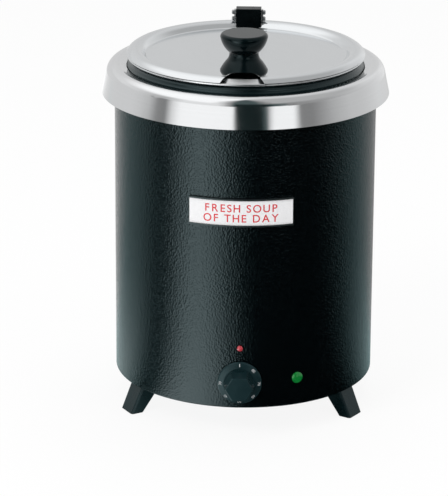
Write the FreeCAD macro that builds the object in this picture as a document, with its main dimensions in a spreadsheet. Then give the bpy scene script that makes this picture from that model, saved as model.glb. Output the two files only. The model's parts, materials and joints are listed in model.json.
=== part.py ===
import FreeCAD, Part
import math
import os
import re

import Sketcher

# Electric soup kettle: a water bath in a painted shell, with a lift-out soup pot and a hinged lid.
# Millimetres, +Z up, origin on the table under the middle of the kettle, front towards -Y.

SIZES = {
    # clearances
    "fit_gap": 0.3,
    "running_gap": 0.05,
    "slip_gap": 0.1,
    # feet
    "foot_height": 34.4,
    "foot_inset_width": 22.6,
    "foot_splay_length": 20.7,
    "foot_top_width": 29,
    "foot_top_depth": 27,
    "foot_tip_width": 27,
    "foot_tip_depth": 16.5,
    "foot_corner": 3,
    # bolts and screws under the base
    "bolt_inset_width": 20,
    "bolt_radius": 2.5,
    "bolt_grip": 12,
    "bolt_head_radius": 4.6,
    "bolt_head_height": 3.5,
    "screw_radius": 1.8,
    "screw_reach": 6,
    "screw_head_radius": 4,
    "screw_head_height": 2,
    # shell and base
    "shell_land_width": 15,
    "shell_height": 369.6,
    "shell_sheet": 1,
    "shell_bend": 2.5,
    "shell_floor_width": 30,
    "shell_ledge_width": 11,
    "base_sheet": 1.2,
    "vent_ring_radius": 90,
    "vent_length": 26,
    "vent_width": 5,
    "vent_end": 2.4,
    "vent_count": 12,
    # collar
    "collar_overhang_width": 15,
    "collar_height": 35.1,
    "collar_rise": 9.6,
    "collar_sheet": 1,
    "collar_shoulder": 12,
    "collar_draft": 11.8,
    "collar_fall": 19,
    "collar_lip_bend": 2,
    "collar_hem": 4,
    # water pan
    "pan_land_width": 9,
    "water_side_gap": 8.1,
    "water_under_gap": 14.1,
    "pan_sheet": 0.8,
    "pan_corner": 18,
    "pan_rim_bend": 2,
    # seal
    "seal_height": 16.4,
    "seal_base": 5.6,
    "seal_width": 7,
    "seal_waist": 4.2,
    # soup pot
    "pot_bore": 122,
    "pot_depth": 225,
    "pot_sheet": 0.9,
    "pot_corner": 22,
    "pot_rim_bend": 4,
    "pot_rim_rise": 4.2,
    "pot_rim_overhang_width": 0.5,
    "pot_bead": 1.3,
    # lid
    "lid_overhang_width": 0.5,
    "lid_sheet": 1,
    "lid_gap": 0.3,
    "lid_bead_width": 21.4,
    "lid_bead_radius": 12.8,
    "lid_bead_height": 7.4,
    "notch_width": 49,
    "notch_depth": 26.5,
    "notch_taper": 25,
    "notch_corner": 8,
    "notch_lean": 20,
    # knob
    "knob_forward": 75,
    "knob_foot_radius": 27.7,
    "knob_foot_edge": 1.2,
    "knob_flank_radius": 19.4,
    "knob_flank_height": 13.2,
    "knob_flank_bulge": 60,
    "knob_neck_radius": 17.05,
    "knob_neck_height": 19.5,
    "knob_neck_hollow": 12,
    "knob_base_height": 21.8,
    "knob_collar_radius": 18.4,
    "knob_collar_chamfer": 1.2,
    "knob_bowl_bulge": 30,
    "knob_top_radius": 27.7,
    "knob_height": 44.4,
    "knob_edge": 4,
    "knob_screw_radius": 2.5,
    "knob_screw_reach": 34,
    "knob_screw_head": 5,
    "knob_screw_head_height": 3,
    # hinge on the lid
    "block_inset_width": 23,
    "block_depth": 16.5,
    "block_width": 30.4,
    "block_height": 23,
    "block_edge": 1.2,
    "arm_sheet": 2,
    "arm_inset": 3.8,
    "arm_drop": 1.4,
    "arm_slope": 26,
    "arm_eye": 6.5,
    "cross_pin_radius": 1.9,
    "cross_pin_back": 7.2,
    "cross_pin_rise": 7,
    "cross_pin_pitch": 8,
    "cross_head_radius": 2.9,
    "cross_head_height": 3,
    "cross_head_chamfer": 1,
    "block_screw_radius": 1.6,
    "block_screw_spread": 9,
    "block_screw_back": 12.8,
    "block_screw_drop": 0.9,
    "block_screw_reach": 11,
    "block_screw_head": 3,
    "block_screw_head_height": 2,
    # hinge on the collar
    "hinge_inset_width": 16,
    "hinge_rise": 11.4,
    "pivot_radius": 2.5,
    "pivot_head_radius": 4,
    "pivot_head_height": 1.5,
    "bracket_sheet": 2,
    "bracket_corner": 2,
    "bracket_eye": 6,
    "bracket_width": 36,
    "bracket_lead_length": 7,
    "bracket_length": 14.5,
    "bracket_screw_spread": 7.5,
    "bracket_screw_radius": 1.5,
    "bracket_screw_head": 2.8,
    "bracket_screw_head_height": 1.6,
    "bracket_screw_reach": 6,
    "bracket_nut_radius": 3.2,
    "bracket_nut_height": 2.2,
    "bracket_nut_drop": 1.5,
    # dial
    "dial_height": 67.3,
    "dial_gap": 0.8,
    "dial_radius": 26,
    "dial_rim": 1.8,
    "dial_bevel": 1.2,
    "dial_rise": 5,
    "grip_radius": 19,
    "grip_length": 21,
    "grip_taper": 6,
    "grip_sides": 6,
    "grip_round": 2.4,
    "grip_edge": 1.2,
    "dial_recess_radius": 12,
    "dial_recess_depth": 4,
    "shaft_radius": 3,
    "shaft_flat": 1,
    "shaft_reach": 15,
    # thermostat
    "thermostat_width": 46,
    "thermostat_tall": 38,
    "thermostat_deep": 26,
    "thermostat_setback": 5,
    "bushing_radius": 5,
    "bushing_proud": 2.6,
    "bushing_shoulder": 7.5,
    "nut_radius": 8,
    "nut_height": 2.2,
    # lamps
    "power_lamp_azimuth": 25.5,
    "power_lamp_height": 69,
    "power_lens_radius": 6.75,
    "heating_lamp_height": 109.6,
    "heating_lens_radius": 3.4,
    "lens_flange": 1,
    "lens_dome_share": 0.42,
    "lens_stem_share": 0.7,
    "lens_stem_reach": 5,
    "lamp_body_length": 22,
    "lamp_body_wall": 1.4,
    # label
    "label_low": 258.9,
    "label_tall": 33.3,
    "label_angle": 45,
    "holder_sheet": 0.8,
    "holder_lip": 1.8,
    "holder_rail": 0.8,
    "card_sheet": 0.5,
    "card_angle": 44.6,
    # heater
    "heater_plate_radius": 88,
    "heater_plate_thick": 4,
    "element_ring_radius": 72,
    "element_radius": 4,
    "element_sweep": 330,
    "element_leg": 12,
    "clamp_length": 164,
    "clamp_width": 26,
    "clamp_thick": 2,
    "clamp_corner": 6.5,
    "stud_radius": 4,
    "stud_length": 34,
    "stud_nut_radius": 7.5,
    "stud_nut_height": 4,
    "shield_radius": 116,
    "shield_sheet": 0.8,
    "shield_rim": 6,
    "shield_drop": 26,
    "cutout_gap": 4,
    "cutout_radius": 8,
    "cutout_tall": 12,
    "cutout_tab_length": 24,
    "cutout_tab_sheet": 1.5,
    "cutout_tab_corner": 3,
    "bulb_gap": 7,
    "bulb_radius": 3,
    "bulb_length": 60,
    "tube_radius": 1,
    "tube_run": 16,
    "tube_bend": 8,
    # terminals and gland
    "terminal_width": 46,
    "terminal_deep": 18,
    "terminal_tall": 16,
    "terminal_corner": 1.5,
    "terminal_back": 96,
    "terminal_poles": 3,
    "terminal_pitch": 13,
    "terminal_hole": 3,
    "terminal_hole_depth": 9,
    "gland_height": 60,
    "gland_neck": 7.8,
    "gland_flange": 12.5,
    "gland_flange_thick": 5,
    "gland_root": 1,
    "gland_bore": 4.2,
    "gland_inside": 9,
    "gland_nut_radius": 11.5,
    "gland_nut_thick": 4,
    "gland_cap_radius": 10.5,
    "gland_cap_length": 21,
    "gland_cap_round": 5,
}

doc = FreeCAD.newDocument("soup_kettle")
sheet = doc.addObject("Spreadsheet::Sheet", "dims")
for row, (alias, size) in enumerate(SIZES.items(), start=1):
    sheet.set(f"A{row}", alias.replace("_", " "))
    sheet.set(f"B{row}", str(size))
    sheet.setAlias(f"B{row}", alias)
doc.recompute()

# Heights and radii that several pieces share, as expressions of the sizes above.
POT_OUTSIDE = "(pot_bore + pot_sheet)"
PAN_BORE = f"({POT_OUTSIDE} + water_side_gap)"
COLLAR_BORE = f"({PAN_BORE} + pan_land_width)"
POT_RIM_RADIUS = f"({COLLAR_BORE} + pot_rim_overhang_width)"
LID_RADIUS = f"({POT_RIM_RADIUS} + lid_overhang_width)"
SHELL_RADIUS = f"({COLLAR_BORE} + shell_land_width)"
SHELL_BORE = f"({SHELL_RADIUS} - shell_sheet)"
COLLAR_RADIUS = f"({SHELL_RADIUS} + collar_overhang_width)"
FOOT_RING = f"({SHELL_RADIUS} - foot_inset_width)"
BOLT_RING = f"({SHELL_RADIUS} - bolt_inset_width)"
SHELL_TOP = "(foot_height + shell_height)"
FLOOR_TOP = "(foot_height + shell_sheet)"
BASE_TOP = f"({FLOOR_TOP} + base_sheet)"
INSERT_RADIUS = f"({SHELL_RADIUS} - shell_bend - fit_gap)"
PAN_RIM = f"({SHELL_TOP} + pan_sheet)"
COLLAR_CREST = f"({SHELL_TOP} + collar_rise)"
SEAL_TOP = f"({PAN_RIM} + seal_height)"
POT_FLOOR = f"({SEAL_TOP} - pot_depth)"
POT_RIM = f"({SEAL_TOP} + 2 * pot_bead)"
PAN_FLOOR = f"({POT_FLOOR} - pot_sheet - water_under_gap)"
PAN_UNDER = f"({PAN_FLOOR} - pan_sheet)"
LID_SEAT = f"({POT_RIM} + lid_gap)"
BEAD_MID = f"({LID_RADIUS} - lid_bead_width / 2)"
BEAD_SIN = "(lid_bead_width / 2 / lid_bead_radius)"
BEAD_COS = f"sqrt(1 - {BEAD_SIN}^2)"
BEAD_CENTRE = f"({LID_SEAT} - (lid_bead_radius - lid_sheet) * {BEAD_COS})"
LID_CREST = f"({BEAD_CENTRE} + lid_bead_radius)"
LID_TOP = f"({LID_CREST} - lid_bead_height)"
LID_UNDER = f"({LID_TOP} - lid_sheet)"
HINGE_BACK = f"({COLLAR_RADIUS} - hinge_inset_width)"
HINGE_Z = f"({COLLAR_CREST} + hinge_rise)"
BLOCK_FRONT = f"({LID_RADIUS} - block_inset_width)"
BLOCK_BASE = f"({LID_TOP} + 2 * fit_gap)"
BLOCK_SIDE = "(block_width / 2)"
ARM_INSIDE = f"({BLOCK_SIDE} + fit_gap)"
ARM_OUTSIDE = f"({ARM_INSIDE} + arm_sheet)"
DIAL_BACK = f"({SHELL_RADIUS} + dial_gap)"
GRIP_START = f"({DIAL_BACK} + dial_rise)"
THERMOSTAT_FACE = f"({SHELL_BORE} - thermostat_setback)"
ELEMENT_Z = f"({PAN_UNDER} - heater_plate_thick - fit_gap - element_radius)"
CLAMP_TOP = f"({ELEMENT_Z} - element_radius - fit_gap)"
SHIELD_TOP = f"({PAN_UNDER} - shield_drop)"
CUTOUT_RING = "(heater_plate_radius + cutout_gap + cutout_radius)"
BULB_FORWARD = "(heater_plate_radius + bulb_gap + bulb_radius)"

# Directions that a piece's own +Z axis is turned to.
UPRIGHT = FreeCAD.Rotation()
TO_FRONT = FreeCAD.Rotation(FreeCAD.Vector(1, 0, 0), 90)
TO_RIGHT = FreeCAD.Rotation(FreeCAD.Vector(0, 1, 0), 90)
FEET = {"foot_left": -148.5, "foot_right": -31.5, "foot_rear": 90}
SCREW_ANGLES = (-115, 5, 125)
NUT_SIDES = 6
SAME_PLACE = 1e-4
SAME_VOLUME = 1e-6
PIPE_SHARE = 0.01
nodes = []


def bound(text):
    """Write each size named in an expression as a reference to the sheet."""
    return re.sub(r"[a-z][a-z_0-9]*", lambda word: f"dims.{word[0]}" if word[0] in SIZES else word[0], text)


def number(text):
    return float(sheet.evalExpression(bound(text)))


def turned(azimuth):
    """Point a piece's own +Z out of the shell, at an angle from the front towards +X."""
    return FreeCAD.Rotation(FreeCAD.Vector(0, 0, 1), azimuth) * TO_FRONT


def node(piece, label):
    piece.Label = label
    nodes.append(piece)
    return piece


def place(piece, x="0", y="0", z="0", rotation=UPRIGHT):
    piece.Placement = FreeCAD.Placement(FreeCAD.Vector(number(x), number(y), number(z)), rotation)
    for axis, text in zip("xyz", (x, y, z)):
        piece.setExpression(f"Placement.Base.{axis}", bound(text))
    return piece


def new_body(name):
    return doc.addObject("PartDesign::Body", name)


def new_sketch(body, role, offset="0", azimuth=0):
    """A sketch on one of the body's origin planes, raised along its normal or swung about its own Y."""
    sketch = body.newObject("Sketcher::SketchObject", f"{body.Name}_sketch")
    plane = next(feature for feature in body.Origin.OriginFeatures if feature.Role == role)
    sketch.AttachmentSupport = [(plane, "")]
    sketch.MapMode = "FlatFace"
    sketch.AttachmentOffset = FreeCAD.Placement(
        FreeCAD.Vector(0, 0, number(offset)), FreeCAD.Rotation(FreeCAD.Vector(0, 1, 0), azimuth)
    )
    sketch.setExpression("AttachmentOffset.Base.z", bound(offset))
    return sketch


def pin_point(sketch, geometry, end, x, y):
    """Hold one point of a sketch at a place given by two expressions."""
    for kind, axis, text in (("DistanceX", -2, x), ("DistanceY", -1, y)):
        if text == "0":
            sketch.addConstraint(Sketcher.Constraint("PointOnObject", geometry, end, axis))
            continue
        index = sketch.addConstraint(Sketcher.Constraint(kind, geometry, end, number(text)))
        sketch.setExpression(f"Constraints[{index}]", bound(text))


def arc_between(start, end, radius):
    """The shorter arc from start to end; a positive radius turns left, a negative one right."""
    chord = end - start
    half = chord.Length / 2
    rise = math.sqrt(max(radius * radius - half * half, 0))
    side = FreeCAD.Vector(-chord.y, chord.x, 0).normalize() * math.copysign(rise, radius)
    centre = start + chord * 0.5 + side
    first, last = (start, end) if radius > 0 else (end, start)
    angles = [math.atan2(point.y - centre.y, point.x - centre.x) for point in (first, last)]
    if angles[1] < angles[0]:
        angles[1] += 2 * math.pi
    return Part.ArcOfCircle(Part.Circle(centre, FreeCAD.Vector(0, 0, 1), abs(radius)), *angles)


def outline(sketch, corners):
    """A closed outline of corners (x, y) or (x, y, radius); the radius bends the edge that leaves there."""
    points = [FreeCAD.Vector(number(corner[0]), number(corner[1]), 0) for corner in corners]
    first = sketch.GeometryCount
    ends = []
    for index, corner in enumerate(corners):
        start = points[index]
        end = points[(index + 1) % len(points)]
        bend = number(corner[2]) if len(corner) == 3 else 0
        if bend:
            geometry = sketch.addGeometry(arc_between(start, end, bend))
        else:
            geometry = sketch.addGeometry(Part.LineSegment(start, end))
        ends.append((2, 1) if bend < 0 else (1, 2))
        pin_point(sketch, geometry, ends[-1][0], corner[0], corner[1])
        if bend:
            radius = sketch.addConstraint(Sketcher.Constraint("Radius", geometry, abs(bend)))
            sketch.setExpression(f"Constraints[{radius}]", bound(f"abs({corner[2]})"))
    for index in range(len(corners)):
        after = (index + 1) % len(corners)
        joint = (first + index, ends[index][1], first + after, ends[after][0])
        sketch.addConstraint(Sketcher.Constraint("Coincident", *joint))
    return sketch


def circle(sketch, x, y, radius):
    centre = FreeCAD.Vector(number(x), number(y), 0)
    ring = Part.Circle(centre, FreeCAD.Vector(0, 0, 1), number(radius))
    geometry = sketch.addGeometry(ring)
    pin_point(sketch, geometry, 3, x, y)
    index = sketch.addConstraint(Sketcher.Constraint("Radius", geometry, number(radius)))
    sketch.setExpression(f"Constraints[{index}]", bound(radius))
    return sketch


def box_corners(x, y, width, height):
    left, right = f"({x} - {width} / 2)", f"({x} + {width} / 2)"
    low, high = f"({y} - {height} / 2)", f"({y} + {height} / 2)"
    return [(left, low), (right, low), (right, high), (left, high)]


def rounded_corners(x, y, width, height, radius):
    left, right = f"({x} - {width} / 2)", f"({x} + {width} / 2)"
    low, high = f"({y} - {height} / 2)", f"({y} + {height} / 2)"
    return [
        (f"({left} + {radius})", low),
        (f"({right} - {radius})", low, radius),
        (right, f"({low} + {radius})"),
        (right, f"({high} - {radius})", radius),
        (f"({right} - {radius})", high),
        (f"({left} + {radius})", high, radius),
        (left, f"({high} - {radius})"),
        (left, f"({low} + {radius})", radius),
    ]


def polygon_corners(radius, sides):
    count = round(number(sides))
    turns = [f"({index} * 360 / {sides})" for index in range(count)]
    return [(f"({radius} * cos{turn})", f"({radius} * sin{turn})") for turn in turns]


def revolve(body, sketch, angle="360"):
    feature = body.newObject("PartDesign::Revolution", f"{body.Name}_turned")
    feature.Profile = sketch
    feature.ReferenceAxis = (sketch, ["V_Axis"])
    feature.Midplane = angle != "360"
    feature.setExpression("Angle", bound(angle))
    return feature


def turned_body(name, corners, angle="360"):
    """A body turned about its own Z axis from corners (radius, height)."""
    body = new_body(name)
    revolve(body, outline(new_sketch(body, "XZ_Plane"), corners), angle)
    return body


def pad(body, sketch, length, both_ways=False, taper="0"):
    feature = body.newObject("PartDesign::Pad", f"{body.Name}_pad")
    feature.Profile = sketch
    feature.SideType = "Symmetric" if both_ways else "One side"
    feature.setExpression("Length", bound(length))
    feature.setExpression("TaperAngle", bound(taper))
    return feature


def pocket(body, sketch, depth="", along_normal=False, both_ways=False):
    """Cut against the sketch's normal, or along it; without a depth the cut goes right through."""
    feature = body.newObject("PartDesign::Pocket", f"{body.Name}_pocket")
    feature.Profile = sketch
    feature.Reversed = along_normal
    feature.SideType = "Symmetric" if both_ways else "One side"
    if depth:
        feature.setExpression("Length", bound(depth))
    else:
        feature.Type = "ThroughAll"
    doc.recompute()
    if not 0 < feature.Shape.Volume < feature.BaseFeature.Shape.Volume - SAME_VOLUME:
        raise RuntimeError(f"{feature.Name} cuts nothing, or everything")
    return feature


def cylinder(name, radius, height, x="0", y="0", z="0", rotation=UPRIGHT):
    piece = doc.addObject("Part::Cylinder", name)
    piece.setExpression("Radius", bound(radius))
    piece.setExpression("Height", bound(height))
    return place(piece, x, y, z, rotation)


def hexagon(name, radius, height, x="0", y="0", z="0", rotation=UPRIGHT):
    piece = doc.addObject("Part::Prism", name)
    piece.Polygon = NUT_SIDES
    piece.setExpression("Circumradius", bound(radius))
    piece.setExpression("Height", bound(height))
    return place(piece, x, y, z, rotation)


def fuse(name, pieces):
    joined = doc.addObject("Part::MultiFuse", name)
    joined.Shapes = pieces
    return joined


def cut(name, base, tool):
    left = doc.addObject("Part::Cut", name)
    left.Base = base
    left.Tool = tool
    return left


def group(name, pieces):
    """Several loose solids of one kind in one node."""
    together = doc.addObject("Part::Compound", name)
    together.Links = pieces
    return node(together, name)


def wall_inside(radius):
    """How far from the axis a round piece of a radius may reach inside the shell's curved wall."""
    return f"(sqrt({SHELL_BORE}^2 - {radius}^2) - fit_gap)"


def on_ring(ring, angle):
    return f"({ring} * cos({angle}))", f"({ring} * sin({angle}))"


def ring_nut(name, radius, bore, height, **where):
    return cut(
        f"{name}_ring",
        hexagon(f"{name}_hexagon", radius, height, **where),
        cylinder(f"{name}_bore", bore, height, **where),
    )


# Feet: splayed tapered posts, each held by a bolt from inside the base.
def make_feet():
    for label, angle in FEET.items():
        body = new_body(label)
        top = new_sketch(body, "XY_Plane", "foot_height")
        outline(top, rounded_corners(FOOT_RING, "0", "foot_top_depth", "foot_top_width", "foot_corner"))
        tip = new_sketch(body, "XY_Plane")
        middle = f"({FOOT_RING} + foot_splay_length)"
        outline(tip, rounded_corners(middle, "0", "foot_tip_depth", "foot_tip_width", "foot_corner"))
        loft = body.newObject("PartDesign::AdditiveLoft", f"{label}_loft")
        loft.Profile = top
        loft.Sections = [tip]
        loft.Ruled = True
        bore = circle(new_sketch(body, "XY_Plane", "foot_height"), BOLT_RING, "0", "(bolt_radius + fit_gap)")
        pocket(body, bore, "(bolt_grip + fit_gap)")
        place(body, rotation=FreeCAD.Rotation(FreeCAD.Vector(0, 0, 1), angle))
        node(body, label)


def make_base_fasteners():
    bolts = []
    for label, angle in FEET.items():
        x, y = on_ring(BOLT_RING, angle)
        head = hexagon(f"{label}_head", "bolt_head_radius", "bolt_head_height", x, y, BASE_TOP)
        length = f"({BASE_TOP} - foot_height + bolt_grip)"
        shank = cylinder(f"{label}_shank", "bolt_radius", length, x, y, "(foot_height - bolt_grip)")
        bolts.append(fuse(f"{label}_bolt", [head, shank]))
    group("foot_bolts", bolts)
    screws = []
    for angle in SCREW_ANGLES:
        x, y = on_ring(BOLT_RING, angle)
        below = "(foot_height - screw_head_height)"
        head = cylinder("base_screw_head", "screw_head_radius", "screw_head_height", x, y, below)
        length = f"({BASE_TOP} - foot_height + screw_reach)"
        shank = cylinder("base_screw_shank", "screw_radius", length, x, y, "foot_height")
        screws.append(fuse("base_screw", [head, shank]))
    group("base_screws", screws)


def base_holes(sketch):
    """Holes for the foot bolts and the base screws, in the shell's floor and in the base plate."""
    for angle in FEET.values():
        circle(sketch, *on_ring(BOLT_RING, angle), "(bolt_radius + fit_gap)")
    for angle in SCREW_ANGLES:
        circle(sketch, *on_ring(BOLT_RING, angle), "(screw_radius + fit_gap)")
    return sketch


# Shell: rolled sheet with an inward floor at the bottom and an inward ledge at the top.
def make_shell():
    floor_edge = f"({SHELL_RADIUS} - shell_floor_width)"
    ledge_edge = f"({SHELL_RADIUS} - shell_ledge_width)"
    bend_side = f"({SHELL_RADIUS} - shell_bend)"
    inner_bend = "(shell_bend - shell_sheet)"
    body = turned_body("outer_shell", [
        (floor_edge, "foot_height"),
        (bend_side, "foot_height", "shell_bend"),
        (SHELL_RADIUS, "(foot_height + shell_bend)"),
        (SHELL_RADIUS, f"({SHELL_TOP} - shell_bend)", "shell_bend"),
        (bend_side, SHELL_TOP),
        (ledge_edge, SHELL_TOP),
        (ledge_edge, f"({SHELL_TOP} - shell_sheet)"),
        (bend_side, f"({SHELL_TOP} - shell_sheet)", f"(-{inner_bend})"),
        (SHELL_BORE, f"({SHELL_TOP} - shell_bend)"),
        (SHELL_BORE, "(foot_height + shell_bend)", f"(-{inner_bend})"),
        (bend_side, FLOOR_TOP),
        (floor_edge, FLOOR_TOP),
    ])
    front = new_sketch(body, "XZ_Plane")
    circle(front, "0", "dial_height", "(bushing_radius + fit_gap)")
    circle(front, "0", "heating_lamp_height", "(heating_lens_radius * lens_stem_share + fit_gap)")
    reach = f"({SHELL_RADIUS} + shell_sheet)"
    pocket(body, front, reach, along_normal=True)
    side = new_sketch(body, "XZ_Plane", azimuth=number("power_lamp_azimuth"))
    circle(side, "0", "power_lamp_height", "(power_lens_radius * lens_stem_share + fit_gap)")
    pocket(body, side, reach, along_normal=True)
    back = circle(new_sketch(body, "XZ_Plane"), "0", "gland_height", "(gland_neck + fit_gap)")
    pocket(body, back, reach)
    pocket(body, base_holes(new_sketch(body, "XY_Plane", "foot_height")), "shell_sheet", along_normal=True)
    node(body, "outer_shell")


def make_base_plate():
    body = new_body("base_plate")
    pad(body, circle(new_sketch(body, "XY_Plane", FLOOR_TOP), "0", "0", INSERT_RADIUS), "base_sheet")
    pocket(body, base_holes(new_sketch(body, "XY_Plane", BASE_TOP)))
    slot = new_sketch(body, "XY_Plane", BASE_TOP)
    outline(slot, rounded_corners("vent_ring_radius", "0", "vent_length", "vent_width", "vent_end"))
    first = pocket(body, slot)
    ring = body.newObject("PartDesign::PolarPattern", "vent_pattern")
    ring.Originals = [first]
    ring.Axis = (slot, ["N_Axis"])
    ring.Angle = 360
    ring.setExpression("Occurrences", bound("vent_count"))
    body.Tip = ring
    node(body, "base_plate")


# Collar: drawn ring with a sloping skirt, a round shoulder and a lip that stands on the pan's flange.
def make_collar():
    foot = f"({COLLAR_CREST} - collar_height)"
    centre_z = f"({COLLAR_CREST} - collar_shoulder)"
    skirt_z = f"({centre_z} + collar_shoulder * sin(collar_draft))"
    skirt_x = f"({COLLAR_RADIUS} - ({skirt_z} - {foot}) * tan(collar_draft))"
    centre_x = f"({skirt_x} - collar_shoulder * cos(collar_draft))"
    top_x = f"({centre_x} - collar_shoulder * sin(collar_fall))"
    top_z = f"({centre_z} + collar_shoulder * cos(collar_fall))"
    lip_x = f"({COLLAR_BORE} + collar_lip_bend * (1 - sin(collar_fall)))"
    lip_z = f"({top_z} - ({top_x} - {lip_x}) * tan(collar_fall))"
    lip_centre_z = f"({lip_z} - collar_lip_bend * cos(collar_fall))"
    inner_bend = "(collar_lip_bend - collar_sheet)"
    inner_shoulder = "(collar_shoulder - collar_sheet)"
    inner_lip = f"({COLLAR_BORE} + collar_sheet)"
    hem_edge = f"({COLLAR_RADIUS} - collar_hem)"
    hem_inside = f"({COLLAR_RADIUS} - collar_sheet / cos(collar_draft) - collar_sheet * tan(collar_draft))"
    body = turned_body("top_collar", [
        (COLLAR_RADIUS, foot),
        (skirt_x, skirt_z, "collar_shoulder"),
        (top_x, top_z),
        (lip_x, lip_z, "collar_lip_bend"),
        (COLLAR_BORE, lip_centre_z),
        (COLLAR_BORE, PAN_RIM),
        (inner_lip, PAN_RIM),
        (inner_lip, lip_centre_z, f"(-{inner_bend})"),
        (
            f"({COLLAR_BORE} + collar_lip_bend - {inner_bend} * sin(collar_fall))",
            f"({lip_centre_z} + {inner_bend} * cos(collar_fall))",
        ),
        (
            f"({centre_x} - {inner_shoulder} * sin(collar_fall))",
            f"({centre_z} + {inner_shoulder} * cos(collar_fall))",
            f"(-{inner_shoulder})",
        ),
        (
            f"({centre_x} + {inner_shoulder} * cos(collar_draft))",
            f"({centre_z} + {inner_shoulder} * sin(collar_draft))",
        ),
        (hem_inside, f"({foot} + collar_sheet)"),
        (hem_edge, f"({foot} + collar_sheet)"),
        (hem_edge, foot),
    ])
    holes = new_sketch(body, "XY_Plane", PAN_RIM)
    for side in ("-", ""):
        circle(holes, f"({side}bracket_screw_spread)", BRACKET_MID, "(bracket_screw_radius + fit_gap)")
    pocket(body, holes, along_normal=True)
    node(body, "top_collar")


def make_seal():
    outside = f"({COLLAR_BORE} - fit_gap)"
    inside = f"({outside} - seal_width)"
    waist = "(seal_height - seal_base)"
    waist_bend = f"(({waist}^2 / 4 + seal_waist^2) / (2 * seal_waist))"
    node(turned_body("rim_seal", [
        (inside, PAN_RIM),
        (outside, PAN_RIM),
        (outside, f"({PAN_RIM} + seal_base)", f"(-{waist_bend})"),
        (outside, SEAL_TOP),
        (inside, SEAL_TOP),
    ]), "rim_seal")


# Drawn vessels: each hangs by a flange, with a round bottom corner.
def vessel_corners(bore, wall, corner, bottom, flange, bend, edge):
    """Corners of a vessel whose flange lies on the height flange and ends in the given edge corners."""
    outside = f"({bore} + {wall})"
    return [
        ("0", f"({bottom} - {wall})"),
        (f"({bore} - {corner})", f"({bottom} - {wall})", f"({corner} + {wall})"),
        (outside, f"({bottom} + {corner})"),
        (outside, f"({flange} - {bend})", f"(-{bend})"),
        (f"({outside} + {bend})", flange),
        *edge,
        (f"({outside} + {bend})", f"({flange} + {wall})", f"({bend} + {wall})"),
        (bore, f"({flange} - {bend})"),
        (bore, f"({bottom} + {corner})", f"(-{corner})"),
        (f"({bore} - {corner})", bottom),
        ("0", bottom),
    ]


def make_vessels():
    pan_edge = [(INSERT_RADIUS, SHELL_TOP), (INSERT_RADIUS, PAN_RIM)]
    pan = vessel_corners(
        PAN_BORE, "pan_sheet", "pan_corner", PAN_FLOOR, SHELL_TOP, "pan_rim_bend", pan_edge
    )
    node(turned_body("water_pan", pan), "water_pan")
    bead_x = f"({POT_RIM_RADIUS} - pot_bead)"
    bead_z = f"({SEAL_TOP} + pot_bead)"
    bead_inside = f"({POT_RIM_RADIUS} - 2 * pot_bead)"
    pot_edge = [
        (bead_x, SEAL_TOP, "pot_bead"),
        (POT_RIM_RADIUS, bead_z, "pot_bead"),
        (bead_x, POT_RIM, "pot_bead"),
        (bead_inside, bead_z),
    ]
    crown = f"({SEAL_TOP} + pot_rim_rise)"
    pot = vessel_corners("pot_bore", "pot_sheet", "pot_corner", POT_FLOOR, crown, "pot_rim_bend", pot_edge)
    node(turned_body("soup_pot", pot), "soup_pot")


# Lid: pressed disc with a bead rim; the ladle notch has a lip as high as the bead that leans over it.
BEAD_EDGE = f"({BEAD_CENTRE} + lid_bead_radius * {BEAD_COS})"
LID_FILLET = f"(({BEAD_EDGE} - {LID_TOP}) / (1 - {BEAD_COS}))"
DISC_EDGE = f"({BEAD_MID} - lid_bead_width / 2 - {LID_FILLET} * {BEAD_SIN})"


def bead_point(side, radius):
    """One end of the bead's arc of a given radius: -1 is the disc side, 1 the outer edge."""
    return f"({BEAD_MID} + {side} * {radius} * {BEAD_SIN})", f"({BEAD_CENTRE} + {radius} * {BEAD_COS})"


def lid_underside():
    """The lid's lower face, from its outer edge to the axis."""
    inner = "(lid_bead_radius - lid_sheet)"
    return [
        (*bead_point("1", inner), inner),
        (BEAD_MID, f"({BEAD_CENTRE} + {inner})", inner),
        (*bead_point("-1", inner), f"(-({LID_FILLET} + lid_sheet))"),
        (DISC_EDGE, LID_UNDER),
        ("0", LID_UNDER),
    ]


def lid_sheet_corners():
    return [
        ("0", LID_TOP),
        (DISC_EDGE, LID_TOP, LID_FILLET),
        (*bead_point("-1", "lid_bead_radius"), "(-lid_bead_radius)"),
        (BEAD_MID, LID_CREST, "(-lid_bead_radius)"),
        bead_point("1", "lid_bead_radius"),
        *lid_underside(),
    ]


def lid_envelope_corners():
    """The lid's lower face, closed by a flat at the height of the bead's crest."""
    return [
        ("0", LID_CREST),
        (BEAD_MID, LID_CREST, "(-lid_bead_radius)"),
        bead_point("1", "lid_bead_radius"),
        *lid_underside(),
    ]


def notch_path(grow):
    """The notch's outline from the right of its mouth round to the left, grown by a wall."""
    bend = f"(notch_corner + {grow})"
    reach = f"({bend} * tan((90 - notch_taper) / 2))"
    rim_half = f"(notch_width / 2 + {grow} / cos(notch_taper))"
    corner = f"({rim_half} - (notch_depth + {grow}) * tan(notch_taper))"
    side = f"({corner} + {reach} * sin(notch_taper))"
    mouth_half = f"({rim_half} + notch_width * tan(notch_taper))"
    mouth = f"(-{LID_RADIUS} - notch_width)"
    end = f"(notch_depth + {grow} - {LID_RADIUS})"
    side_end = f"({end} - {reach} * cos(notch_taper))"
    return [
        (mouth_half, mouth),
        (side, side_end, bend),
        (f"({corner} - {reach})", end),
        (f"({reach} - {corner})", end, bend),
        (f"(-{side})", side_end),
        (f"(-{mouth_half})", mouth),
    ]


def leaning_notch(name, grow):
    """A solid through the lid that fills the notch, grown by a wall; it narrows upwards to the bead's crest."""
    low = f"({LID_UNDER} - lid_bead_height / 2)"
    spread = f"(({LID_CREST} - {low}) * tan(notch_lean) + {grow})"
    body = new_body(name)
    mouth = outline(new_sketch(body, "XY_Plane", low), notch_path(spread))
    pad(body, mouth, "(2 * lid_bead_height)", taper="(-notch_lean)")
    return body


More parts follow.
